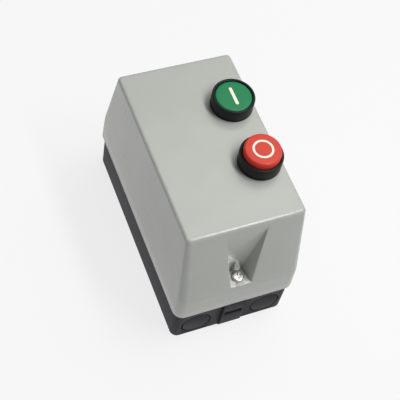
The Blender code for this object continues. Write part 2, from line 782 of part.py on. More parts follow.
def build_contactor(armature_joint):
    inner_x = (CONTACTOR_X[0] + HOUSING_WALL, CONTACTOR_X[1] - HOUSING_WALL)
    inner_y = (CONTACTOR_Y[0] + HOUSING_WALL, CONTACTOR_Y[1] - HOUSING_WALL)
    lower = block(CONTACTOR_X, CONTACTOR_Y, (HOUSING_Z, COIL_SPLIT_Z))
    cut(lower, block(inner_x, inner_y, (HOUSING_Z + HOUSING_WALL, COIL_SPLIT_Z + 1)))
    place("contactor_lower_housing", lower, HOUSING_GREY)

    core_z = HOUSING_Z + HOUSING_WALL + GAP
    back_z = core_z + CORE_BACK
    limb_z = back_z + CORE_LIMB
    core_y = (MID_Y - CORE_DEPTH / 2, MID_Y + CORE_DEPTH / 2)
    core = e_core((core_z, back_z), limb_z, core_y)
    place("fixed_core", core, CORE_STEEL)

    tube_x = CENTRE_LIMB / 2 + GAP
    tube_y = CORE_DEPTH / 2 + GAP
    flange_z = [(back_z + GAP, back_z + GAP + BOBBIN_FLANGE), (limb_z - GAP - BOBBIN_FLANGE, limb_z - GAP)]
    wall = BOBBIN_WALL
    bobbin = around_core(tube_x + wall, tube_y + wall, (flange_z[0][0], flange_z[1][1]))
    for span in flange_z:
        join(bobbin, around_core(tube_x + FLANGE_OVERHANG[0], tube_y + FLANGE_OVERHANG[1], span))
    cut(bobbin, around_core(tube_x, tube_y, (back_z, limb_z)))
    place("coil_bobbin", bobbin, BOBBIN_WHITE)
    wind_z = (flange_z[0][1] + GAP, flange_z[1][0] - GAP)
    inside = wall + GAP
    outside = inside + WINDING_BUILD - 2 * GAP
    winding = around_core(tube_x + outside, tube_y + outside, wind_z)
    cut(winding, around_core(tube_x + inside, tube_y + inside, (wind_z[0] - 1, wind_z[1] + 1)))
    place("coil_winding", winding, COIL_TAPE)

    face_z = limb_z + ARMATURE_TRAVEL + GAP
    armature_back = (face_z + ARMATURE_LIMB, face_z + ARMATURE_LIMB + ARMATURE_BACK)
    place("armature", e_core(armature_back, face_z, core_y), CORE_STEEL, armature_joint)

    tip_z = STRIP_Z + STRIP + TIP_HEIGHT
    bridge_z = tip_z + ARMATURE_TRAVEL + GAP + TIP_HEIGHT
    plate_z = (armature_back[1] + GAP, armature_back[1] + GAP + CARRIER_PLATE)
    stalk_x = (POLE_X[0] - POLE_PITCH / 2, POLE_X[2] + POLE_PITCH / 2)
    stalk_top = CONTACTOR_TOP - HOUSING_WALL - STALK_HEADROOM
    carrier = block(stalk_x, (MID_Y - CARRIER_HALF_Y, MID_Y + CARRIER_HALF_Y), plate_z)
    join(carrier, block(stalk_x, (MID_Y - STALK_HALF, MID_Y + STALK_HALF), (plate_z[1] - 1, stalk_top)))
    tab_z = (stalk_top - 1, CONTACTOR_TOP + TAB_PROUD)
    join(carrier, block(about(MID_X, TAB_HALF[0]), about(MID_Y, TAB_HALF[1]), tab_z))
    for x in POLE_X:
        window_z = (bridge_z - GAP, bridge_z + BRIDGE_THICKNESS + BRIDGE_HEADROOM)
        cut(carrier, block(about(x, BRIDGE_WIDTH / 2 + GAP), about(MID_Y, STALK_HALF + 1), window_z))
    place("contact_carrier", carrier, HOUSING_LIGHT, armature_joint)
    for number, x in enumerate(POLE_X, 1):
        half = BRIDGE_WIDTH / 2
        bar_z = (bridge_z, bridge_z + BRIDGE_THICKNESS)
        bridge = block(about(x, half), about(MID_Y, BRIDGE_HALF), bar_z)
        for end in (-1, 1):
            tip_y = sorted((MID_Y + end * BRIDGE_HALF, MID_Y + end * (BRIDGE_HALF - TIP_LENGTH)))
            tip = (bridge_z - TIP_HEIGHT, bridge_z + BRIDGE_THICKNESS / 3)
            join(bridge, block(about(x, half * TIP_SHARE), tip_y, tip))
        place(f"contact_bridge_{number}", bridge, COPPER, armature_joint)

    spring_z = (limb_z + GAP, face_z + ARMATURE_LIMB - GAP)
    spring_y = MID_Y + CORE_DEPTH / 2 + CARRIER_SPRING_RADIUS + 2 * SPRING_WIRE
    coil = spring(CARRIER_SPRING_RADIUS, SPRING_WIRE, (spring_z[0], plate_z[0] - GAP), (MID_X, spring_y))
    place("carrier_spring", coil, SPRING_STEEL)

    upper = build_upper_housing(inner_x)
    for label, end, edge in (("line", 1, CONTACTOR_Y[1]), ("load", -1, CONTACTOR_Y[0])):
        screw_y = edge - end * TERMINAL_INSET
        for number, x in enumerate(POLE_X, 1):
            half = STRIP_WIDTH / 2
            strip_y = sorted((MID_Y + end * CONTACT_REACH, edge - end * 3))
            strip = block(about(x, half), strip_y, (STRIP_Z, STRIP_Z + STRIP))
            tip_y = sorted((MID_Y + end * BRIDGE_HALF, MID_Y + end * (BRIDGE_HALF - TIP_LENGTH)))
            join(strip, block(about(x, half * TIP_SHARE), tip_y, (STRIP_Z + STRIP / 3, tip_z)))
            cut(strip, rod(TERMINAL_SHANK + GAP, (STRIP_Z - 1, STRIP_Z + 3), (x, screw_y), sides=12))
            place(f"{label}_contact_{number}", strip, COPPER)
            made = terminal_screw((x, screw_y), TERMINAL_SEAT)
            place(f"{label}_screw_{number}", made, ZINC)
    wire_x = (CONTACTOR_X[1] - WIRE_ENTRY - 1, CONTACTOR_X[1] + 1)
    cut(upper, rod(WIRE_RADIUS + GAP, wire_x, COIL_WIRE_AT, "X", 10))
    place("contactor_upper_housing", upper, HOUSING_GREY)


TERMINAL_SEAT = STRIP_Z + STRIP + 2.3
STOP_WIRE_AT = (RELAY_Y[1] - WIRE_FROM_FACE, WIRE_Z)
COIL_WIRE_AT = (CONTACTOR_Y[1] - 5, COIL_SPLIT_Z + 5)
BLOCK_WIRE_AT = (sum(BLOCK_X) / 2, WIRE_Z)


def build_wires():
    """Wires from the relay's stop contact to the start block, and on from there to the coil."""
    depth = WIRE_ENTRY - GAP
    side = CONTACTOR_X[1]
    x, z = BLOCK_WIRE_AT
    stop_end = (x, BLOCK_Y[0] + depth, z)
    stop_wire = wire((side - depth, *STOP_WIRE_AT), (STOP_WIRE_PULL, 0, 0), stop_end, (0, STOP_WIRE_PULL, 0))
    place("stop_control_wire", stop_wire, WIRE_RED)
    coil_start = (x, BLOCK_Y[1] - depth, z)
    coil_end = (side - depth, *COIL_WIRE_AT)
    coil_wire = wire(coil_start, (0, COIL_WIRE_PULL, 0), coil_end, (-COIL_WIRE_PULL, 0, 0))
    place("coil_control_wire", coil_wire, WIRE_RED)


def e_core(back, limb_end, depth):
    """Three limbs and a back bar of stacked laminations; the limbs run from the bar to limb_end."""
    half = CORE_WIDTH / 2
    core = block((MID_X - half, MID_X + half), depth, back)
    limb = sorted((limb_end, sum(back) / 2))
    join(core, block((MID_X - CENTRE_LIMB / 2, MID_X + CENTRE_LIMB / 2), depth, limb))
    join(core, block((MID_X - half, MID_X - half + OUTER_LIMB), depth, limb))
    join(core, block((MID_X + half - OUTER_LIMB, MID_X + half), depth, limb))
    return core


def around_core(half_x, half_y, z):
    """Box centred on the core's middle limb."""
    return block((MID_X - half_x, MID_X + half_x), (MID_Y - half_y, MID_Y + half_y), z)


def build_upper_housing(inner_x):
    """Upper housing with its arc chamber, six terminal pockets and the window for the carrier's tab."""
    y0, y1 = CONTACTOR_Y
    shoulder = CONTACTOR_TOP - SHOULDER_DROP
    foot = COIL_SPLIT_Z + GAP
    outline = [
        (y0, foot),
        (y1, foot),
        (y1, shoulder),
        (y1 - SHOULDER_LENGTH, shoulder),
        (y1 - SHOULDER_LENGTH, CONTACTOR_TOP),
        (y0 + SHOULDER_LENGTH, CONTACTOR_TOP),
        (y0 + SHOULDER_LENGTH, shoulder),
        (y0, shoulder),
    ]
    upper = prism(outline, CONTACTOR_X, "X")
    chamber_y = (MID_Y - CHAMBER_HALF_Y, MID_Y + CHAMBER_HALF_Y)
    cut(upper, block(inner_x, chamber_y, (foot - 1, CONTACTOR_TOP - HOUSING_WALL)))
    window = [half + 2 * GAP for half in TAB_HALF]
    through = (CONTACTOR_TOP - 2 * HOUSING_WALL, CONTACTOR_TOP + 1)
    cut(upper, block(about(MID_X, window[0]), about(MID_Y, window[1]), through))
    for end, edge in ((1, y1), (-1, y0)):
        screw_y = edge - end * TERMINAL_INSET
        for x in POLE_X:
            half = POCKET_WIDTH / 2
            pocket_y = sorted((edge - end * POCKET_DEPTH, edge + end))
            cut(upper, block(about(x, half), pocket_y, (STRIP_Z - POCKET_BELOW, STRIP_Z + POCKET_ABOVE)))
            cut(upper, rod(TERMINAL_HEAD + GAP, (STRIP_Z + 2, shoulder + 1), (x, screw_y)))
            slot_x = about(x, STRIP_WIDTH / 2 + GAP)
            slot_y = sorted((edge - end * (POCKET_DEPTH - 1), MID_Y + end * (CHAMBER_HALF_Y - 1)))
            cut(upper, block(slot_x, slot_y, (STRIP_Z - GAP, STRIP_Z + STRIP + GAP)))
    return upper


def build_relay(dial_joint, window_joint, slider_joint, reset_joint, stop_joint):
    y0, y1 = RELAY_Y
    outline = [
        (y0, HOUSING_Z),
        (y1, HOUSING_Z),
        (y1, RELAY_TOP),
        (y0 + RELAY_SHOULDER, RELAY_TOP),
        (y0 + RELAY_SHOULDER, RELAY_SHOULDER_Z),
        (y0, RELAY_SHOULDER_Z),
    ]
    housing = prism(outline, CONTACTOR_X, "X")
    inner_x = (CONTACTOR_X[0] + HOUSING_WALL, CONTACTOR_X[1] - HOUSING_WALL)
    chamber_y = (y0 + RELAY_SHOULDER + HOUSING_WALL, y1 - HOUSING_WALL)
    ceiling = RELAY_TOP - PLUNGER_DEPTH
    cut(housing, block(inner_x, chamber_y, (HOUSING_Z - 1, ceiling)))

    pin_z = (STRIP_Z + STRIP + GAP, TERMINAL_SEAT - GAP)
    leaf_y = (y1 - LEAF_FROM_FACE - LEAF_WIDTH, y1 - LEAF_FROM_FACE)
    screw_y = y0 + TERMINAL_INSET - 2.5
    motor_seat = MOTOR_STRIP_Z + STRIP + 2.3
    for number, x in enumerate(POLE_X, 1):
        half = STRIP_WIDTH / 2
        pocket_y = (y0 - 1, y0 + RELAY_SHOULDER - 2)
        pocket_z = (MOTOR_STRIP_Z - POCKET_BELOW, MOTOR_STRIP_Z + POCKET_ABOVE)
        slot_y = (pocket_y[1] - 1, chamber_y[0] + 1)
        slot_z = (MOTOR_STRIP_Z - GAP, MOTOR_STRIP_Z + STRIP + GAP)
        pin_slot = (x - LEAF_THICKNESS / 2 - GAP, x + PIN_X[1] + GAP)
        cut(
            housing,
            block(about(x, half + 1), pocket_y, pocket_z),
            rod(TERMINAL_HEAD + GAP, (MOTOR_STRIP_Z + 2, RELAY_SHOULDER_Z + 1), (x, screw_y)),
            block(about(x, half + GAP), slot_y, slot_z),
            block(pin_slot, (chamber_y[1] - 1, y1 + 1), (pin_z[0] - GAP, pin_z[1] + GAP)),
        )
        leaf_x = about(x, LEAF_THICKNESS / 2)
        heater = block(leaf_x, leaf_y, (LEAF_FOOT_Z, pin_z[1]))
        join(heater, block((leaf_x[0], x + PIN_X[1]), (leaf_y[1] - 1.5, CONTACTOR_Y[0] + 0.5), pin_z))
        pin_y = (CONTACTOR_Y[0] - 1, CONTACTOR_Y[0] + TERMINAL_INSET + 1)
        join(heater, block((x + PIN_X[0], x + PIN_X[1]), pin_y, pin_z))
        tail = block((x - half, x + half), (y0 + 2, leaf_y[0] + 1.5), (MOTOR_STRIP_Z, MOTOR_STRIP_Z + STRIP))
        cut(tail, rod(TERMINAL_SHANK + GAP, (MOTOR_STRIP_Z - 1, MOTOR_STRIP_Z + 3), (x, screw_y), sides=12))
        join(heater, tail)
        place(f"heater_strip_{number}", heater, BRASS)
        made = terminal_screw((x, screw_y), motor_seat)
        place(f"motor_screw_{number}", made, ZINC)

    slider_x = (inner_x[0] + GAP, inner_x[1] - SLIDER_TRAVEL - 2 * GAP)
    slider_y = (sum(leaf_y) / 2 - SLIDER_WIDTH / 2, sum(leaf_y) / 2 + SLIDER_WIDTH / 2)
    slider = block(slider_x, slider_y, SLIDER_Z)
    for x in POLE_X:
        slot_x = (x - LEAF_THICKNESS / 2 - SLIDER_TRAVEL - GAP, x + LEAF_THICKNESS / 2 + GAP)
        cut(slider, block(slot_x, (leaf_y[0] - GAP, leaf_y[1] + GAP), (SLIDER_Z[0] - 1, SLIDER_Z[1] + 1)))
    place("trip_slider", slider, BOBBIN_WHITE, slider_joint)

    dial_z = RELAY_TOP - DIAL_DEPTH
    cut(housing, rod(DIAL_RADIUS + GAP, (dial_z - GAP, RELAY_TOP + 1), DIAL_AT))
    dial = rod(DIAL_RADIUS, (dial_z, RELAY_TOP), DIAL_AT)
    slot_half, slot_reach, slot_depth = DIAL_SLOT
    slot_z = (RELAY_TOP - slot_depth, RELAY_TOP + 1)
    cut(dial, block(about(DIAL_AT[0], slot_half), about(DIAL_AT[1], slot_reach), slot_z))
    place("relay_dial", dial, HOUSING_LIGHT, dial_joint)

    pane_z = (RELAY_TOP + GAP, RELAY_TOP + GAP + WINDOW_THICKNESS)
    pane_x = (DIAL_AT[0] - WINDOW_SIZE[0] / 2, DIAL_AT[0] + WINDOW_SIZE[0] / 2)
    pane = block(pane_x, (WINDOW_HINGE[0] - WINDOW_SIZE[1], WINDOW_HINGE[0]), pane_z)
    place("relay_window", pane, CLEAR, window_joint)

    for at, radius, proud, travel, label, finish, joint in (
        (RESET_AT, RESET_RADIUS, 4.0, RESET_TRAVEL, "reset", BLUE, reset_joint),
        (RELAY_STOP_AT, RELAY_STOP_RADIUS, RELAY_STOP_PROUD, BUTTON_TRAVEL, "stop", RED, stop_joint),
    ):
        well_z = RELAY_TOP - 2.5 - travel - 2 * GAP
        cut(housing, rod(radius + GAP, (well_z, RELAY_TOP + 1), at))
        button = rod(radius, (well_z + GAP + travel, RELAY_TOP + proud), at)
        place(f"relay_{label}_button", button, finish, joint)
    wire_x = (CONTACTOR_X[1] - HOUSING_WALL - 1, CONTACTOR_X[1] + 1)
    cut(housing, rod(WIRE_RADIUS + GAP, wire_x, STOP_WIRE_AT, "X", 10))
    place("relay_housing", housing, HOUSING_LIGHT)


DIAL_AT = (CONTACTOR_X[0] + DIAL_FROM_CORNER[0], RELAY_Y[1] - DIAL_FROM_CORNER[1])
WINDOW_HINGE = (DIAL_AT[1] + WINDOW_SIZE[1] / 2, RELAY_TOP + GAP + WINDOW_THICKNESS)
RESET_AT = (MID_X, DIAL_AT[1])
RELAY_STOP_AT = (RELAY_STOP_X, STOP_Y)


def build_block(plunger_joint):
    wall = HOUSING_WALL - 0.5
    housing = block(BLOCK_X, BLOCK_Y, (HOUSING_Z, BLOCK_TOP))
    inner_x = (BLOCK_X[0] + wall, BLOCK_X[1] - wall)
    inner_y = (BLOCK_Y[0] + wall, BLOCK_Y[1] - wall)
    shelf = BLOCK_TOP - wall - BLOCK_CHAMBER
    cut(housing, block(inner_x, inner_y, (shelf, BLOCK_TOP - wall)))
    cut(housing, block(inner_x, inner_y, (HOUSING_Z - 1, shelf - wall)))
    at = (BUTTON_X, START_Y)
    radius = BLOCK_PLUNGER_RADIUS
    cut(housing, rod(radius + GAP, (BLOCK_TOP - 2 * wall, BLOCK_TOP + 1), at))
    vent_x = (inner_x[0] + 1, inner_x[0] + 4)
    vent_y = (inner_y[0] + 2, inner_y[0] + 8)
    cut(housing, block(vent_x, vent_y, (shelf - 2 * wall, shelf + 1)))
    for edge in BLOCK_Y:
        cut(housing, rod(WIRE_RADIUS + GAP, (edge - wall - 1, edge + wall + 1), BLOCK_WIRE_AT, "Y", 10))
    place("block_housing", housing, HOUSING_GREY)

    plunger_foot = shelf + 12
    plunger = rod(radius, (plunger_foot, BLOCK_TOP + BLOCK_PLUNGER_PROUD), at)
    bridge_z = plunger_foot + 4
    bridge_x = (at[0] - 2.2, at[0] + 2.2)
    bridge_y = (at[1] - BLOCK_BRIDGE_LENGTH / 2, at[1] + BLOCK_BRIDGE_LENGTH / 2)
    collar_z = (bridge_z - 2.5, bridge_z + 4)
    join(plunger, rod(radius + COLLAR, collar_z, at))
    window_x = (bridge_x[0] - GAP, bridge_x[1] + GAP)
    window_z = (bridge_z - GAP, bridge_z + TIP_HEIGHT + GAP)
    cut(plunger, block(window_x, (at[1] - 6, at[1] + 6), window_z))
    place("block_plunger", plunger, BLACK, plunger_joint)
    bridge = block(bridge_x, bridge_y, (bridge_z, bridge_z + TIP_HEIGHT))
    place("block_bridge", bridge, COPPER, plunger_joint)
    coil = spring(radius - SPRING_WIRE, SPRING_WIRE, (shelf + GAP, plunger_foot - GAP), at)
    place("block_spring", coil, SPRING_STEEL)


cover_joint = joint_point("cover_joint", (0, 0, RIM_Z))
start_joint = joint_point("start_joint", (BUTTON_X, START_Y, FACE_Z), cover_joint)
stop_joint = joint_point("stop_joint", (BUTTON_X, STOP_Y, FACE_Z), cover_joint)
armature_joint = joint_point("armature_joint", (MID_X, MID_Y, COIL_SPLIT_Z))
block_joint = joint_point("block_joint", (BUTTON_X, START_Y, BLOCK_TOP))
dial_joint = joint_point("dial_joint", (*DIAL_AT, RELAY_TOP))
window_joint = joint_point("window_joint", (DIAL_AT[0], *WINDOW_HINGE))
slider_joint = joint_point("slider_joint", (MID_X, DIAL_AT[1], SLIDER_Z[0]))
reset_joint = joint_point("reset_joint", (*RESET_AT, RELAY_TOP))
relay_stop_joint = joint_point("relay_stop_joint", (*RELAY_STOP_AT, RELAY_TOP))

build_base()
build_cover(cover_joint)
build_button("start", START_Y, START_CAP_TOP, GREEN, start_joint, cover_joint)
build_button("stop", STOP_Y, STOP_CAP_TOP, RED, stop_joint, cover_joint)
build_contactor(armature_joint)
build_relay(dial_joint, window_joint, slider_joint, reset_joint, relay_stop_joint)
build_block(block_joint)
build_wires()
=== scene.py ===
"""Looks of an enclosed direct-on-line motor starter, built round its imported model.

Lengths are millimetres until Shape.place turns them into metres. +Z comes out of the front.
"""

import json
from math import cos, pi, radians, sin, tan

import bmesh
import bpy
import numpy as np
from mathutils import Matrix, Vector


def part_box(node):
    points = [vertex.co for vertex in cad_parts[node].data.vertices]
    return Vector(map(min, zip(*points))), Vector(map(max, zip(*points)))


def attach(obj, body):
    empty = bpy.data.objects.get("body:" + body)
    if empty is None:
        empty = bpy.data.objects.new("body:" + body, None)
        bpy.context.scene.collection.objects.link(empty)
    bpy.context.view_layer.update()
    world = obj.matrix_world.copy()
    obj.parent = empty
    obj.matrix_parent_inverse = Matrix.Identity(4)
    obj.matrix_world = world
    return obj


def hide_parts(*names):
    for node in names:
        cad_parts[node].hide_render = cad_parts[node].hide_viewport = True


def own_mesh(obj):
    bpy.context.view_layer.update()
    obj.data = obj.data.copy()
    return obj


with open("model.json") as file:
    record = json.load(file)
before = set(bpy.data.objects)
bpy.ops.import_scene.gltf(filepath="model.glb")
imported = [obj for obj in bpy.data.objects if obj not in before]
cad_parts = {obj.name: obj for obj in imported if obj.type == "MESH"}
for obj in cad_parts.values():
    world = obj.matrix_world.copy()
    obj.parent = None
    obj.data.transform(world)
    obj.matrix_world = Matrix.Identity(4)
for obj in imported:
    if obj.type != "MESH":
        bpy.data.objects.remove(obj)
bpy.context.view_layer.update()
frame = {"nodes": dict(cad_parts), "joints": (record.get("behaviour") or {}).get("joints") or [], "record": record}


# ---------------------------------------------------------------------------------------------------
# The camera looks down on the starter from its lower left, with its head tilted a little.
# ---------------------------------------------------------------------------------------------------
MM = 0.001
AIM = Vector((1.49, -3.83, 45)) * MM
AZIMUTH, ELEVATION, ROLL = radians(-33.36), radians(56.87), radians(14.53)
DISTANCE = 681.19 * MM

backward = Vector((sin(AZIMUTH) * cos(ELEVATION), -cos(AZIMUTH) * cos(ELEVATION), sin(ELEVATION)))
level = (-backward).cross(Vector((0, 0, 1))).normalized()
upright = level.cross(-backward)
camera = bpy.data.objects.new("camera", bpy.data.cameras.new("camera"))
camera.data.lens = 87.8
camera.data.sensor_width = 36
camera.data.clip_start = 0.01
axes = (cos(ROLL) * level + sin(ROLL) * upright, cos(ROLL) * upright - sin(ROLL) * level, backward)
camera.matrix_world = Matrix.Translation(AIM + backward * DISTANCE) @ Matrix(axes).transposed().to_4x4()
bpy.context.scene.collection.objects.link(camera)
bpy.context.scene.camera = camera


# ---------------------------------------------------------------------------------------------------
# The studio: an even white room, a broad lamp overhead, and a long strip high on the right whose
# reflection runs along the front edge. The floor is a lit white board, as on a light table.
# ---------------------------------------------------------------------------------------------------
def paint(red, green, blue):
    """Linear colour of a screen colour given from 0 to 255: the standard curve, taken channel by channel."""
    shade = np.array((red, green, blue)) / 255
    return tuple(np.where(shade > 0.04045, ((shade + 0.055) / 1.055) ** 2.4, shade / 12.92))


class Signal:
    """A shader socket that takes part in Python arithmetic; each operator adds one Math node."""

    def __init__(self, tree, socket):
        self.tree = tree
        self.socket = socket

    def maths(self, operation, *values):
        node = self.tree.nodes.new("ShaderNodeMath")
        node.operation = operation
        for slot, value in zip(node.inputs, values):
            if isinstance(value, Signal):
                self.tree.links.new(value.socket, slot)
            else:
                slot.default_value = value
        return Signal(self.tree, node.outputs[0])

    def __add__(self, other):
        return self.maths("ADD", self, other)

    def __sub__(self, other):
        return self.maths("SUBTRACT", self, other)

    def __rsub__(self, other):
        return self.maths("SUBTRACT", other, self)

    def __mul__(self, other):
        return self.maths("MULTIPLY", self, other)

    def __pow__(self, other):
        return self.maths("POWER", self, other)

    def __gt__(self, other):
        return self.maths("GREATER_THAN", self, other)

    def __lt__(self, other):
        return self.maths("LESS_THAN", self, other)

    __radd__ = __add__
    __rmul__ = __mul__


class Finish:
    """One material: a Principled shader, and the patterns in millimetres that vary it."""

    def __init__(self, name, colour, roughness, **constants):
        self.material = bpy.data.materials.new(name)
        self.material.use_nodes = True
        self.tree = self.material.node_tree
        self.shader = self.tree.nodes["Principled BSDF"]
        self.colour = (*colour, 1)
        self.shader.inputs["Base Color"].default_value = self.colour
        self.shader.inputs["Roughness"].default_value = roughness
        for socket, value in constants.items():
            self.shader.inputs[socket.replace("_", " ")].default_value = value
        coordinates = self.node("TexCoord", output="Object")
        self.place = self.node("Mapping", {}, {"Vector": coordinates, "Scale": (1000, 1000, 1000)})

    def node(self, kind, settings=None, inputs=None, output=0):
        """A node of any type: its settings are set first, then its sockets get values or links."""
        made = self.tree.nodes.new("ShaderNode" + kind)
        for setting, value in (settings or {}).items():
            setattr(made, setting, value)
        for socket, value in (inputs or {}).items():
            if isinstance(value, Signal):
                self.tree.links.new(value.socket, made.inputs[socket])
            else:
                made.inputs[socket].default_value = value
        return Signal(self.tree, made.outputs[output])

    def noise(self, size, detail=2.0, stretch=(1, 1, 1)):
        """Cloudy value about 0.5 with patches of the given size; stretch lengthens them along an axis."""
        scale = tuple(1 / (size * share) for share in stretch)
        where = self.node("Mapping", {}, {"Vector": self.place, "Scale": scale})
        return self.node("TexNoise", {}, {"Vector": where, "Scale": 1.0, "Detail": detail})

    def axis(self, letter):
        """Distance along one axis."""
        return self.node("SeparateXYZ", {}, {0: self.place}, letter)

    def ripple(self, letter, pitch, phase=0.0):
        """Smooth ridges across an axis, one for each pitch: half of one plus the sine of the distance."""
        turn = self.axis(letter) * (2 * pi / pitch) + phase
        return turn.maths("SINE", turn) * 0.5 + 0.5

    def tint(self, mask, other):
        """Turn the colour towards another one where the mask is high."""
        slot = self.shader.inputs["Base Color"]
        now = Signal(self.tree, slot.links[0].from_socket) if slot.links else self.colour
        clamped = {"data_type": "RGBA", "clamp_factor": True}
        mixed = self.node("Mix", clamped, {0: mask, 6: now, 7: (*other, 1)}, 2)
        self.tree.links.new(mixed.socket, slot)

    def feed(self, socket, signal):
        self.tree.links.new(signal.socket, self.shader.inputs[socket])

    def relief(self, height, depth):
        """Raise the surface by up to depth where the height signal is 1."""
        bump = self.node("Bump", {}, {"Distance": depth * MM, "Height": height})
        self.feed("Normal", bump)


def grey(colour, share):
    """The colour lightened or darkened by a share of itself."""
    return tuple(min(channel * share, 1) for channel in colour)


class Shape:
    """A mesh worked out as whole arrays, then placed as one piece of the starter."""

    def __init__(self, name, grid, loop=False):
        """A grid of points whose rows close on themselves; its ends are capped, or joined in a loop."""
        rows, columns = grid.shape[:2]
        number = np.arange(rows * columns).reshape(rows, columns)
        low = number if loop else number[:-1]
        high = np.roll(number, -1, 0) if loop else number[1:]
        quads = np.stack((low, np.roll(low, -1, 1), np.roll(high, -1, 1), high), 2).reshape(-1, 4)
        caps = [] if loop else [number[0, ::-1].tolist(), number[-1].tolist()]
        mesh = bpy.data.meshes.new(name)
        mesh.from_pydata(grid.reshape(-1, 3) * MM, [], quads.tolist() + caps)
        self.name = name
        self.mesh = mesh
        self.tidy()

    def tidy(self):
        """Merge points that coincide, turn faces outwards, and shade folds under 40 degrees smooth."""
        shape = bmesh.new()
        shape.from_mesh(self.mesh)
        bmesh.ops.remove_doubles(shape, verts=shape.verts[:], dist=2e-6)
        if shape.calc_volume(signed=True) < 0:
            bmesh.ops.reverse_faces(shape, faces=shape.faces[:])
        shape.to_mesh(self.mesh)
        shape.free()
        self.mesh.shade_smooth()
        self.mesh.set_sharp_from_angle(angle=radians(40))

    def boolean(self, operation, *others):
        """Cut other shapes away from this one, or weld them to it."""
        body = bpy.data.objects.new("body", self.mesh)
        tools = [bpy.data.objects.new("tool", other.mesh) for other in others]
        group = bpy.data.collections.new("tools")
        for tool in tools:
            group.objects.link(tool)
        bpy.context.scene.collection.children.link(group)
        bpy.context.scene.collection.objects.link(body)
        change = body.modifiers.new("change", "BOOLEAN")
        change.operation = operation
        change.solver = "EXACT"
        change.operand_type = "COLLECTION"
        change.collection = group
        depsgraph = bpy.context.evaluated_depsgraph_get()
        self.mesh = bpy.data.meshes.new_from_object(body.evaluated_get(depsgraph))
        for spent in (body, *tools):
            bpy.data.objects.remove(spent)
        bpy.data.collections.remove(group)
        self.tidy()
        return self

    def cut(self, *others):
        return self.boolean("DIFFERENCE", *others)

    def weld(self, *others):
        return self.boolean("UNION", *others)

    def place(self, finish, slot, *nodes):
        """Make it a piece that stands for CAD nodes and moves with the first one's body."""
        self.mesh.materials.clear()
        self.mesh.materials.append(finish.material)
        piece = bpy.data.objects.new(self.name, self.mesh)
        piece.data.name = self.name
        bpy.context.scene.collection.objects.link(piece)
        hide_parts(*nodes)
        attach(piece, BODY_OF[nodes[0]])
        return piece


BODY_OF = {node: body for body, nodes in frame["record"]["behaviour"]["bodies"].items() for node in nodes}


def lamp(name, at, size, power):
    """Rectangular soft lamp aimed at the starter; its second size lies along Y."""
    light = bpy.data.lights.new(name, "AREA")
    light.shape = "RECTANGLE"
    light.size, light.size_y = size
    light.energy = power
    made = bpy.data.objects.new(name, light)
    behind = (Vector(at) - AIM).normalized()
    across = Vector((0, 1, 0)).cross(behind).normalized()
    turned = Matrix((across, behind.cross(across), behind)).transposed().to_4x4()
    made.matrix_world = Matrix.Translation(Vector(at)) @ turned
    bpy.context.scene.collection.objects.link(made)


room = bpy.data.worlds.new("room")
room.use_nodes = True
room.node_tree.nodes["Background"].inputs["Color"].default_value = (1, 1, 1, 1)
room.node_tree.nodes["Background"].inputs["Strength"].default_value = 0.17
bpy.context.scene.world = room
bpy.context.scene.view_settings.view_transform = "Standard"
lamp("overhead", (0.55, 0.35, 1.4), (1.0, 1.0), 8.9)
lamp("strip", (0.44, -0.33, 1.3), (0.15, 0.95), 12.1)

board = Finish("floor_board", paint(97, 97, 97), 0.8, Emission_Color=(1, 1, 1, 1), Emission_Strength=0.8)
board.tint(board.noise(60, 3), paint(94, 94, 94))
board.relief(board.noise(0.8, 2), 0.02)
square = np.array([(-1, -1), (1, -1), (1, 1), (-1, 1)]) * 4000
slab = np.stack([np.column_stack((square, np.full(4, z))) for z in (-6.0, -0.2)])
floor = bpy.data.objects.new("floor", Shape("floor", slab).mesh)
floor.data.materials.append(board.material)
bpy.context.scene.collection.objects.link(floor)


# ---------------------------------------------------------------------------------------------------
# Cover: one injection moulding in light grey ABS with a satin grain. Its ends slope in above a short
# skirt, and each end has a flared channel down to the seat of a fixing screw.
# ---------------------------------------------------------------------------------------------------
RIM_Z, BREAK_Z, SEAT_Z, FACE_Z = 32.8, 53.0, 56.0, 110.6
RIM_HALF_X, RIM_HALF_Y = 43.7, 80.4
RIM_RADIUS, FACE_RADIUS = 7.0, 3.2
SIDE_DRAFT, SKIRT_DRAFT, END_SLOPE = (tan(radians(angle)) for angle in (2.3, 2, 13.4))
CHANNEL_DEPTH, CHANNEL_TOP = 12.7, 105.5
SEAT_HALF, TOP_HALF = 4.7, 14.3
FLANK_SHARE = 0.197  # width of a flank for each mm of depth
EDGE = 2.0
WALL = 2.4


def soft(value, width):
    """Positive part of a value with a rounded corner.

    It is half of the value plus the root of the sum of its square and the width's square.
    """
    return (value + np.sqrt(value**2 + width**2)) / 2


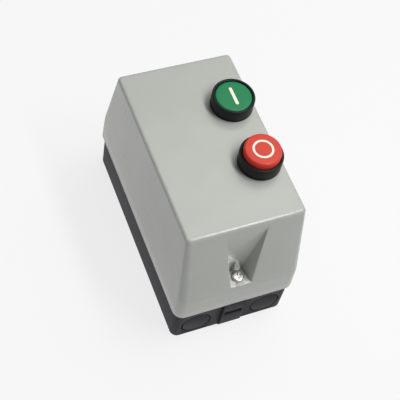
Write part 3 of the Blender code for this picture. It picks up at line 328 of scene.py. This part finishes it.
def cover_ring(z, inset, share=0.0, grow=0.0):
    """Points round the cover, one row for each height.

    Half of the ring is an arc round one corner, then the end wall across to the other corner's arc. The
    end wall is pushed in by the channel's depth times share times a ramp that falls from one to nothing
    across the channel's flank. The other half is the same half turned by 180 degrees.
    """
    columns = np.broadcast_arrays(z, inset, share, grow)
    z, inset, share, grow = (np.atleast_1d(value)[:, None] for value in columns)
    rise = z - RIM_Z
    half_x = RIM_HALF_X - SIDE_DRAFT * rise - inset
    half_y = RIM_HALF_Y - SKIRT_DRAFT * rise - (END_SLOPE - SKIRT_DRAFT) * soft(z - BREAK_Z, 0.7) - inset
    lost = (RIM_RADIUS - FACE_RADIUS) * rise / (FACE_Z - RIM_Z)
    corner = np.maximum(RIM_RADIUS - lost - inset, 0.5)
    climb = np.clip((z - SEAT_Z) / (CHANNEL_TOP - SEAT_Z), 0, 1.2)
    depth = soft(CHANNEL_DEPTH * (1 - climb), 0.3)
    half = SEAT_HALF + (TOP_HALF - SEAT_HALF) * climb + grow
    flank = np.maximum(FLANK_SHARE * depth, 0.4)

    angle = np.linspace(0, pi / 2, 9)
    arc_x = half_x - corner + corner * np.cos(angle)
    arc_y = half_y - corner + corner * np.sin(angle)
    across = np.array([1.9, 1.4, 1.2, 1.08, 1, 0.92, 0.8, 0.6, 0.4, 0.2, 0.08, 0, -0.08, -0.2, -0.5, -1.0])
    beside = (half_x - corner + half + 2 * flank) / 2
    wall_x = np.hstack((beside, half + flank * across, half / 2, 0 * half))
    along = (wall_x - half) / flank
    ramp = 1 - soft(along, 0.16) + soft(along - 1, 0.16)
    wall_y = half_y - depth * share * np.clip(ramp, 0, 1)

    x = np.hstack((arc_x, wall_x))
    y = np.hstack((arc_y, wall_y))
    x = np.hstack((x, -x[:, -2::-1]))
    y = np.hstack((y, y[:, -2::-1]))
    ring = np.stack((np.hstack((x, -x)), np.hstack((y, -y))), 2)
    return np.dstack((ring, np.broadcast_to(z, ring.shape[:2])))


def middle(node):
    """The middle of a node's box along X and Y, with its lowest and highest Z."""
    corners = np.array(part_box(node)) / MM
    return tuple(corners[:, :2].mean(0)), *corners[:, 2]


def rod(radius, low, high, at, axis="Z", sides=48):
    """Round bar between two distances along an axis; at holds its other two coordinates."""
    turn = np.linspace(0, 2 * pi, sides, endpoint=False)
    circle = radius * np.stack((np.cos(turn), np.sin(turn)), 1) + at
    ends = [np.insert(circle, "XYZ".index(axis), level, axis=1) for level in (low, high)]
    return Shape("rod", np.stack(ends))


fillet = np.radians([0, 30, 60, 90])
roll = np.radians(np.linspace(0, 90, 9)[1:])
SEAT_ROUND = 0.6
into_seat = SEAT_ROUND * (1 - np.cos(fillet)) / CHANNEL_DEPTH
out_of_seat = 1 - SEAT_ROUND * (1 - np.sin(fillet)) / CHANNEL_DEPTH
seat_low = np.stack((SEAT_Z - SEAT_ROUND + SEAT_ROUND * np.sin(fillet), 0 * fillet, into_seat), 1)
seat_high = np.stack((SEAT_Z + 0.62 - SEAT_ROUND * np.cos(fillet), 0 * fillet, out_of_seat), 1)
# Each row of the skin is a height, how far it lies inside the outer face, and the channel's share.
outside = np.vstack(
    (
        [(RIM_Z, 0.3, 0), (RIM_Z + 0.1, 0.09, 0), (RIM_Z + 0.35, 0, 0), (42, 0, 0), (50, 0, 0)],
        [(BREAK_Z + step, 0, 0) for step in (-1.6, -0.6, 0, 0.6, 1.6)],
        seat_low,
        seat_high,
        [(z, 0, 1) for z in (58, 62, 68, 74, 80, 86, 92, 97, 101, 103, 104, 104.8, 105.4, 106, 107)],
        [(107.8, 0, 0.5), (FACE_Z - EDGE, 0, 0)],
        np.stack((FACE_Z - EDGE + EDGE * np.sin(roll), EDGE * (1 - np.cos(roll)), 0 * roll), 1),
        [(FACE_Z, EDGE + 0.5, 0)],
    )
)
inside = np.array(
    [(RIM_Z, 1.4, 0), (RIM_Z + 0.3, 1.7, 0), (42.1, 1.7, 0), (42.1, 3.5, 0), (43.7, 3.5, 0), (43.7, WALL, 0)]
    + [(53.1, WALL, 0), (53.4, WALL, 1)]
    + [(z, WALL, 1) for z in (58, 70, 84, 98, 103, 105, 106.5)]
    + [(107.0, WALL, 0), (107.6, WALL + 0.3, 0), (108.0, WALL + 1, 0)]
)
skin = np.vstack((inside[::-1], outside))
grow = np.where(np.arange(len(skin)) < len(inside), WALL, 0)
cover = Shape("cover_moulding", cover_ring(*skin.T, grow))

BUTTONS = {label: middle(label + "_bezel")[0] for label in ("start", "stop")}
BUTTON_HOLE, SCREW_HOLE = 11.2, 2.3
SCREW_Y = 72.5
holes = [rod(BUTTON_HOLE, 105, 113, at, sides=96) for at in BUTTONS.values()]
holes += [rod(SCREW_HOLE, 50, 60, (0, end * SCREW_Y)) for end in (-1, 1)]
cover.cut(*holes)

# The seat for the sealing wire is a small wedge on each channel's back, pierced from the front.
BACK_Y = 66.45
for end in (-1, 1):
    climb = np.array([0, 0.06, 0.3, 0.6, 0.85, 1])[:, None]
    swell = np.array([0.86, 1, 1, 1, 1, 0.8])[:, None]
    half = (2.5 - 1.4 * climb) * swell
    depth = (3.4 - 3.2 * climb) * swell
    bow = np.linspace(0, pi, 17)
    front_x = half * np.sign(np.cos(bow)) * np.abs(np.cos(bow)) ** 0.35
    front_y = BACK_Y + depth * np.sin(bow) ** 0.35
    x = np.hstack((front_x, -half, half))
    y = np.hstack((front_y, np.full_like(half, BACK_Y - 1), np.full_like(half, BACK_Y - 1)))
    z = np.broadcast_to(60.9 + 6.4 * climb, x.shape)
    lug = Shape("lug", np.stack((x * end, y * end, z), 2))
    lug.cut(rod(0.62, *sorted((end * (BACK_Y + 1.0), end * 80)), (0, 63.4), "Y", 24))
    cover.weld(lug)


def moulded(name, colour, roughness, grain=0.35, depth=0.02, mottle=0.03, **constants):
    """Moulded plastic: a fine spark-eroded grain, faint flow clouds in the colour, and uneven gloss."""
    finish = Finish(name, colour, roughness, **constants)
    clouds = finish.noise(22, 3)
    fine = finish.noise(grain, 2)
    broad = finish.noise(grain * 5, 2)
    finish.tint(clouds * 1.6 - 0.3, grey(colour, 1 - 2 * mottle))
    finish.tint(fine * 2 - 1.1, grey(colour, 1 + mottle))
    finish.feed("Roughness", roughness + 0.1 * (clouds - 0.5) + 0.12 * (fine - 0.5))
    finish.relief(0.7 * fine + 0.3 * broad, depth)
    return finish


shade = paint(177, 179, 173)
cover_grey = moulded("cover_grey", shade, 0.25, grain=0.5, depth=0.014, Specular_IOR_Level=0.4)
cover.place(cover_grey, "cover_grey", "cover")


# ---------------------------------------------------------------------------------------------------
# Fixing screws: zinc plated steel pan heads with a cross recess and a rolled thread. They stay in the
# cover when it is lifted off.
# ---------------------------------------------------------------------------------------------------
def eased(corners, radius, steps=5):
    """Outline with rounded corners.

    Corner c becomes (1-t)^2 a + 2t(1-t) c + t^2 b, where a and b lie on its two sides, the radius away
    or nearly half way along a short side.
    """
    corner = np.array(corners, float)
    sides = np.stack((np.roll(corner, 1, 0) - corner, np.roll(corner, -1, 0) - corner))
    length = np.maximum(np.linalg.norm(sides, axis=2), 1e-9)
    reach = np.minimum(np.broadcast_to(radius, len(corner)), 0.48 * length)[..., None]
    near, far = corner + sides / length[..., None] * reach
    t = np.linspace(0, 1, steps)[:, None]
    curve = (1 - t) ** 2 * near[:, None] + 2 * t * (1 - t) * corner[:, None] + t**2 * far[:, None]
    return curve.reshape(-1, 2)


CORE = 0.05  # a turned outline keeps this far from the line that it turns round


def turned(name, profile, at, sides=96):
    """Turn a closed outline of (radius, height) points round the vertical line through at."""
    turn = np.linspace(0, 2 * pi, sides, endpoint=False)
    radius, height = np.array(profile, float).T[:, :, None]
    height = np.broadcast_to(height, (len(profile), sides))
    grid = np.stack((at[0] + radius * np.cos(turn), at[1] + radius * np.sin(turn), height), 2)
    return Shape(name, grid, loop=True)


def box(x, y, z, shrink=0.0):
    """Block between two values along each axis; its low end may be smaller all round."""
    x, y, z = (np.array(sorted(pair), float) for pair in (x, y, z))
    inner = np.array([shrink, -shrink])
    ends = ((x + inner, y + inner), (x, y))
    rows = [[(a[0], b[0]), (a[1], b[0]), (a[1], b[1]), (a[0], b[1])] for a, b in ends]
    return Shape("box", np.dstack((rows, np.repeat(z[:, None], 4, 1))))


def cross_recess(at, top, arm, blade, depth):
    """Tool that sinks a cross into a screw's head."""
    reach = top - depth, top + 1
    across = box((at[0] - arm, at[0] + arm), (at[1] - blade, at[1] + blade), reach, blade / 2)
    along = box((at[0] - blade, at[0] + blade), (at[1] - arm, at[1] + arm), reach, blade / 2)
    return across, along


def thread(at, radius, groove, pitch, low, high, sides=24):
    """Threaded bar: its radius follows a ridge that climbs a pitch in each turn and fades at both ends."""
    turn = np.linspace(0, 2 * pi, sides, endpoint=False)
    height = np.arange(low, high, pitch / 8)[:, None]
    ridge = np.abs(2 * ((height / pitch - turn / (2 * pi)) % 1) - 1)
    fade = np.clip(np.minimum(height - low, high - height) / pitch, 0, 1)
    across = radius - groove * (1 - ridge * fade)
    x, y = at[0] + across * np.cos(turn), at[1] + across * np.sin(turn)
    return Shape("thread", np.stack((x, y, height + 0 * turn), 2))


def plated(name, colour, roughness, scratch=(1, 1, 6)):
    """Plated or drawn metal: cloudy gloss, and fine scratches that run along one axis."""
    finish = Finish(name, colour, roughness, Metallic=1.0)
    clouds = finish.noise(2.5, 3)
    lines = finish.noise(0.12, 3, scratch)
    finish.tint(clouds * 1.5 - 0.3, grey(colour, 0.82))
    finish.feed("Roughness", roughness + 0.18 * (clouds - 0.5) + 0.14 * (lines - 0.5))
    finish.relief(lines, 0.008)
    return finish


zinc = plated("zinc_plate", paint(228, 226, 220), 0.34)
for end, label in ((-1, "bottom"), (1, "top")):
    at = (0, end * SCREW_Y)
    seat = SEAT_Z + 0.3
    crown = seat + 1.8
    outline = [
        (4.1, seat), (4.1, seat + 1.1), (3.5, crown), (CORE, crown),
        (CORE, seat - 2), (1.6, seat - 2), (1.6, seat),
    ]
    head = turned("cover_screw_head_" + label, eased(outline, [0.15, 0.5, 0.8, 0, 0, 0, 0]), at)
    head.cut(*cross_recess(at, crown, 2.1, 0.45, 1.1))
    head.weld(thread(at, 1.95, 0.3, 1.3, seat - 11.7, seat - 1))
    head.place(zinc, "zinc_steel", "cover_screw_" + label)


# ---------------------------------------------------------------------------------------------------
# Push buttons: a black bezel passes through the face and a notched ring nut holds it from behind. The
# cap slides in the bezel on a stem, and a steel spring lifts it. The start cap is green and all but
# flush with the bezel's rim; the stop cap is red and stands proud. Each has an ivory symbol moulded in.
# ---------------------------------------------------------------------------------------------------
BEZEL_TOP, BEZEL_FLOOR, NECK_END = FACE_Z + 10.0, FACE_Z + 2.3, FACE_Z - 13.5
BEZEL_RADIUS, BEZEL_BORE, NECK_RADIUS, NECK_BORE = 14.5, 12.65, 10.9, 8.5
NUT_TOP, NUT_BOTTOM, NUT_RADIUS = FACE_Z - 2.9, FACE_Z - 7.9, 12.7
CAP_RADIUS, CAP_BOTTOM = 12.4, FACE_Z + 6.6
SYMBOL_DEPTH, SYMBOL_GAP = 0.6, 0.08


def tube(line, radius, sides=10):
    """Round section carried along a line of points.

    At each point the section lies in the plane of two directions square to the line: the line's
    direction crossed with the upward direction, and that crossed with the line again.
    """
    ahead = np.gradient(line, axis=0)
    ahead /= np.linalg.norm(ahead, axis=1)[:, None]
    first = np.cross(ahead, (0, 0, 1))
    first /= np.linalg.norm(first, axis=1)[:, None]
    second = np.cross(first, ahead)
    turn = np.linspace(0, 2 * pi, sides, endpoint=False)[:, None]
    return line[:, None] + radius * (np.cos(turn) * first[:, None] + np.sin(turn) * second[:, None])


def coil_spring(node, wire, turns, joint):
    """Helix between the node's ends that closes up towards both; its joint's travel is read, but the helix keeps
    its length.
    """
    at, low, high = middle(node)
    radius = at[0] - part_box(node)[0][0] / MM - wire
    along = np.linspace(0, 1, int(turns * 28))
    rise = along - 0.09 * np.sin(2 * pi * along)
    turn = 2 * pi * turns * along
    height = low + wire + (high - low - 2 * wire) * rise
    line = np.stack((at[0] + radius * np.cos(turn), at[1] + radius * np.sin(turn), height), 1)
    piece = Shape(node + "_coil", tube(line, wire)).place(spring_wire, "spring_steel", node)
    travel = next(row["range_m"][1] for row in frame["joints"] if row["name"] == joint)
    keep = 1 - travel / ((high - low) * MM)
    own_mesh(piece)


spring_wire = plated("spring_wire", paint(188, 188, 186), 0.24)
button_black = moulded(
    "button_black", paint(32, 34, 35), 0.42, grain=0.3, depth=0.015, Specular_IOR_Level=0.15
)
cap_green = moulded("cap_green", paint(22, 127, 76), 0.36, grain=0.3, depth=0.008, Specular_IOR_Level=0.25)
cap_red = moulded("cap_red", paint(210, 62, 44), 0.36, grain=0.3, depth=0.008, Specular_IOR_Level=0.25)
symbol_ivory = moulded("symbol_ivory", paint(250, 240, 226), 0.45, grain=0.3, depth=0.008)


def bar(half_width, half_length, low, high, at):
    """Bar with round ends: a circle whose upper half is moved up and lower half down."""
    turn = np.linspace(0, 2 * pi, 64, endpoint=False)
    x = at[0] + half_width * np.cos(turn)
    y = at[1] + half_width * np.sin(turn) + (half_length - half_width) * np.sign(np.sin(turn) + 1e-9)
    return Shape("bar", np.stack([np.stack((x, y, np.full(64, level)), 1) for level in (low, high)]))


def ring(outer, inner, low, high, at):
    """Flat ring between two radii and two levels."""
    return turned("ring", [(inner, low), (outer, low), (outer, high), (inner, high)], at)


for label, crown, finish, slot in (
    ("start", BEZEL_TOP - 0.4, cap_green, "start_green"),
    ("stop", BEZEL_TOP + 4.8, cap_red, "stop_red"),
):
    at = BUTTONS[label]
    base = FACE_Z + 0.3
    groove = BEZEL_RADIUS - 0.3
    outline = [
        (BEZEL_BORE, BEZEL_TOP), (BEZEL_RADIUS, BEZEL_TOP), (BEZEL_RADIUS, base + 1.6), (groove, base + 1.6),
        (groove, base + 1.2), (BEZEL_RADIUS, base + 1.2), (BEZEL_RADIUS, base), (NECK_RADIUS, base),
        (NECK_RADIUS, NECK_END), (3.5, NECK_END), (3.5, NECK_END + 2), (NECK_BORE, NECK_END + 2),
        (NECK_BORE, BEZEL_FLOOR), (BEZEL_BORE, BEZEL_FLOOR),
    ]
    ease = [0.6, 1.2, 0.1, 0.1, 0.1, 0.1, 0.3, 0.2, 0.8, 0.2, 0.2, 0.4, 0.3, 0.3]
    bezel = turned(label + "_bezel_ring", eased(outline, ease), at)
    bezel.place(button_black, "button_black", label + "_bezel")

    turn = np.linspace(0, 2 * pi, 192, endpoint=False)
    nut = eased(
        [(BUTTON_HOLE, NUT_BOTTOM), (NUT_RADIUS, NUT_BOTTOM), (NUT_RADIUS, NUT_TOP), (BUTTON_HOLE, NUT_TOP)],
        0.35,
    )
    notch = 0.55 * np.clip(3 * np.cos(12 * turn) - 1, 0, 1)
    across = nut[:, :1] - notch * (nut[:, :1] > 12)
    nut = np.stack((at[0] + across * np.cos(turn), at[1] + across * np.sin(turn), nut[:, 1:] + 0 * turn), 2)
    Shape(label + "_ring_nut", nut, loop=True).place(button_black, "button_black", label + "_nut")

    edge = 1.1 if label == "start" else 2.2
    outline = [
        (CORE, CAP_BOTTOM), (CAP_RADIUS, CAP_BOTTOM), (CAP_RADIUS, crown - 0.12), (9.8, crown), (CORE, crown)
    ]
    cap = turned(label + "_button_cap", eased(outline, [0, 0.2, edge, 1.5, 0], 9), at)
    shallow, deep = crown - SYMBOL_DEPTH, crown - SYMBOL_DEPTH - SYMBOL_GAP
    if label == "start":
        cap.cut(bar(1.05 + SYMBOL_GAP, 7.15 + SYMBOL_GAP, deep, crown + 1, at))
        mark = bar(1.05, 7.15, shallow, crown, at)
    else:
        cap.cut(ring(7.0 + SYMBOL_GAP, 5.55 - SYMBOL_GAP, deep, crown + 1, at))
        mark = ring(7.0, 5.55, shallow, crown, at)
    cap.place(finish, slot, label + "_cap")
    mark.name = label + "_button_symbol"
    mark.place(symbol_ivory, "symbol_ivory", label + "_symbol")
    coil_spring(label + "_spring", 0.55, 5, label + "_press")


# ---------------------------------------------------------------------------------------------------
# Base: an anthracite moulding with round knockouts, a slotted pad at each end, screw pillars and the
# feet that the switchgear stands on. Stems and housings are mouldings of the same kind, edges broken.
# ---------------------------------------------------------------------------------------------------
def softened(node, finish, slot, radius=0.35, segments=2):
    """The node's own shape, its loose triangles merged first, with its sharp edges rounded off."""
    shape = Shape.__new__(Shape)
    shape.name = node + "_finished"
    shape.mesh = bpy.data.meshes.new(shape.name)
    merged = bmesh.new()
    merged.from_mesh(frame["nodes"][node].data)
    bmesh.ops.remove_doubles(merged, verts=merged.verts[:], dist=2e-6)
    bmesh.ops.dissolve_limit(merged, angle_limit=radians(0.5), verts=merged.verts[:], edges=merged.edges[:])
    merged.to_mesh(shape.mesh)
    merged.free()
    shape.mesh.shade_smooth()
    piece = shape.place(finish, slot, node)
    broken = piece.modifiers.new("broken_edges", "BEVEL")
    broken.width = radius * MM
    broken.segments = segments
    broken.limit_method = "ANGLE"
    broken.angle_limit = radians(35)
    broken.harden_normals = True
    return piece


shade = paint(57, 57, 62)
base_anthracite = moulded(
    "base_anthracite", shade, 0.52, grain=0.45, depth=0.03, mottle=0.05, Specular_IOR_Level=0.06
)
softened("base_tub", base_anthracite, "base_anthracite", 0.4)
for label in BUTTONS:
    softened(label + "_stem", button_black, "button_black", 0.25)


# ---------------------------------------------------------------------------------------------------
# Seal: a round-edged bead of black rubber on the base's ledge, squeezed by the cover.
# ---------------------------------------------------------------------------------------------------
seal_rubber = moulded("seal_rubber", paint(44, 44, 46), 0.62, grain=0.6, depth=0.02)
bead = eased([(40.3, 2.2), (40.3, 3.5), (41.8, 3.5), (41.8, 2.2)], 0.4, 4)
Shape("sealing_bead", cover_ring(*bead.T), loop=True).place(seal_rubber, "seal_rubber", "rim_gasket")


# ---------------------------------------------------------------------------------------------------
# Clamping screws: zinc plated, with a flange that holds the wire, for the earth and nine terminals.
# The earth's plate is bare brass.
# ---------------------------------------------------------------------------------------------------
brass = plated("brass", paint(205, 170, 98), 0.34, (6, 1, 1))
softened("earth_plate", brass, "brass", 0.2)
clamps = [f"{side}_screw_{pole}" for side in ("line", "load", "motor") for pole in (1, 2, 3)]
for node in ["earth_screw", *clamps]:
    at, end, top = middle(node)
    seat = top - 2.4
    outline = [
        (3.25, seat), (3.25, seat + 0.7), (2.7, seat + 0.7), (2.7, seat + 1.7), (1.9, top), (CORE, top),
        (CORE, seat - 1.5), (1.35, seat - 1.5), (1.35, seat),
    ]
    head = turned(node + "_head", eased(outline, [0.15, 0.15, 0.1, 0.4, 0.6, 0, 0, 0, 0], 4), at, 48)
    head.cut(*cross_recess(at, top, 1.7, 0.36, 1.0))
    head.weld(thread(at, 1.75, 0.25, 0.8, end, seat - 0.6, 16))
    head.place(zinc, "zinc_steel", node)


# ---------------------------------------------------------------------------------------------------
# Contactor: a dark glass-filled body in two halves round a laminated magnet. The coil pulls the
# armature and its carrier down, and three copper bridges close on silver tips.
# ---------------------------------------------------------------------------------------------------
housing_dark = moulded("housing_dark", paint(58, 59, 62), 0.52, grain=0.6, depth=0.03, mottle=0.07)
housing_light = moulded("housing_light", paint(172, 174, 171), 0.48, grain=0.5, depth=0.02)
nylon = moulded("bobbin_nylon", paint(226, 221, 200), 0.4, grain=0.8, depth=0.01, Subsurface_Weight=0.1)
softened("contactor_lower_housing", housing_dark, "housing_dark", 0.4)
softened("contactor_upper_housing", housing_dark, "housing_dark", 0.4)
softened("contact_carrier", housing_light, "housing_light", 0.25)
softened("coil_bobbin", nylon, "bobbin_nylon", 0.25)

core_steel = plated("core_steel", paint(150, 150, 152), 0.38, (6, 1, 1))
sheets = core_steel.ripple("Y", 0.5)
core_steel.tint((sheets < 0.18) * 0.75, paint(58, 56, 54))
core_steel.relief(sheets, 0.05)
softened("fixed_core", core_steel, "core_steel", 0.3)
softened("armature", core_steel, "core_steel", 0.3)

winding = Finish("coil_tape", paint(168, 104, 52), 0.32, Coat_Weight=0.6, Coat_Roughness=0.12)
strands = winding.ripple("Z", 0.34)
winding.tint((strands < 0.3) * 0.8, paint(92, 48, 22))
winding.tint(winding.noise(3, 3) * 1.4 - 0.5, paint(190, 128, 66))
winding.feed("Roughness", 0.26 + 0.25 * winding.noise(1.5, 2))
winding.relief(strands, 0.08)
softened("coil_winding", winding, "coil_tape", 0.8, segments=3)

copper = paint(205, 128, 88)


def contact_metal(name, tipped):
    """Copper strip with silver tips; tipped takes the height in mm and marks where the silver is."""
    finish = plated(name, copper, 0.32, (1, 6, 1))
    finish.tint(tipped(finish.axis("Z")), paint(216, 216, 212))
    return finish


fixed_copper = contact_metal("fixed_contact_copper", lambda height: height > 63.55)
bridge_copper = contact_metal("bridge_copper", lambda height: height < 71.65)
for pole in (1, 2, 3):
    softened(f"line_contact_{pole}", fixed_copper, "contact_copper", 0.2)
    softened(f"load_contact_{pole}", fixed_copper, "contact_copper", 0.2)
    softened(f"contact_bridge_{pole}", bridge_copper, "contact_copper", 0.2)
coil_spring("carrier_spring", 0.55, 6, "armature_travel")


# ---------------------------------------------------------------------------------------------------
# Overload relay: a light grey body with brass heater strips from the contactor to the motor
# terminals, a current dial under a clear hinged window, and its own reset and stop buttons.
# ---------------------------------------------------------------------------------------------------
relay_grey = moulded("relay_grey", paint(172, 174, 171), 0.48, grain=0.5, depth=0.02)
(dial_x, dial_y), dial_low, dial_top = middle("relay_dial")
east = relay_grey.axis("X") - dial_x
north = relay_grey.axis("Y") - dial_y
reach = (east * east + north * north) ** 0.5
turn = east.maths("ARCTAN2", north, east)
ticks = (turn * 12).maths("COSINE", turn * 12) > 0.86
ticks = ticks * (reach > 6.3) * (reach < 7.7) * (relay_grey.axis("Z") > 77.0)
relay_grey.tint(ticks, paint(40, 42, 44))
softened("relay_housing", relay_grey, "housing_light", 0.4)

dial_white = moulded("dial_white", paint(222, 222, 214), 0.42, grain=0.4, depth=0.01)
outline = [(CORE, dial_low), (5.5, dial_low), (5.5, dial_top - 0.5), (5.0, dial_top), (CORE, dial_top)]
dial = turned("current_setting_dial", eased(outline, [0, 0.3, 0.3, 0.3, 0], 4), (dial_x, dial_y), 72)
dial.cut(box((dial_x - 3.6, dial_x + 3.6), (dial_y - 0.6, dial_y + 0.6), (dial_top - 0.8, dial_top + 1)))
dial.place(dial_white, "housing_light", "relay_dial")

clear = Finish("clear_window", paint(232, 240, 240), 0.08, Alpha=0.3, Specular_IOR_Level=0.6)
clear.feed("Roughness", 0.06 + 0.08 * clear.noise(2, 3))
clear.relief(clear.noise(6, 2), 0.02)
softened("relay_window", clear, "clear_window", 0.3)
reset_blue = moulded("reset_blue", paint(38, 92, 168), 0.34, grain=0.3, depth=0.008)
softened("relay_reset_button", reset_blue, "reset_blue", 0.5, segments=3)
softened("relay_stop_button", cap_red, "stop_red", 0.5, segments=3)
softened("trip_slider", nylon, "bobbin_nylon", 0.2)
for pole in (1, 2, 3):
    softened(f"heater_strip_{pole}", brass, "brass", 0.2)


# ---------------------------------------------------------------------------------------------------
# Start contact block under the green button, and the two red control wires that join it to the relay
# and to the contactor's coil.
# ---------------------------------------------------------------------------------------------------
softened("block_housing", housing_dark, "housing_dark", 0.4)
softened("block_plunger", button_black, "button_black", 0.4)
plain_copper = plated("plain_copper", copper, 0.32, (1, 6, 1))
softened("block_bridge", plain_copper, "contact_copper", 0.15)
coil_spring("block_spring", 0.55, 5, "start_block_press")

red_wire = moulded("wire_insulation", paint(168, 36, 34), 0.38, grain=1.5, depth=0.01)
# Each wire is one cubic curve that leaves its start and reaches its end along the given directions.
t = np.linspace(0, 1, 49)[:, None]
for node, start, leave, end, arrive in (
    ("stop_control_wire", (12.3, -29.4, 64), (45, 0, 0), (23, 5.8, 64), (0, 45, 0)),
    ("coil_control_wire", (23, 42.4, 64), (0, 24, 0), (12.3, 54.4, 51), (-24, 0, 0)),
):
    start, leave, end, arrive = (np.array(value, float) for value in (start, leave, end, arrive))
    line = start * (1 + 2 * t) * (1 - t) ** 2 + leave * t * (1 - t) ** 2
    line = line + end * t**2 * (3 - 2 * t) - arrive * t**2 * (1 - t)
    Shape(node + "_sleeve", tube(line, 1.1, 20)).place(red_wire, "wire_insulation", node)
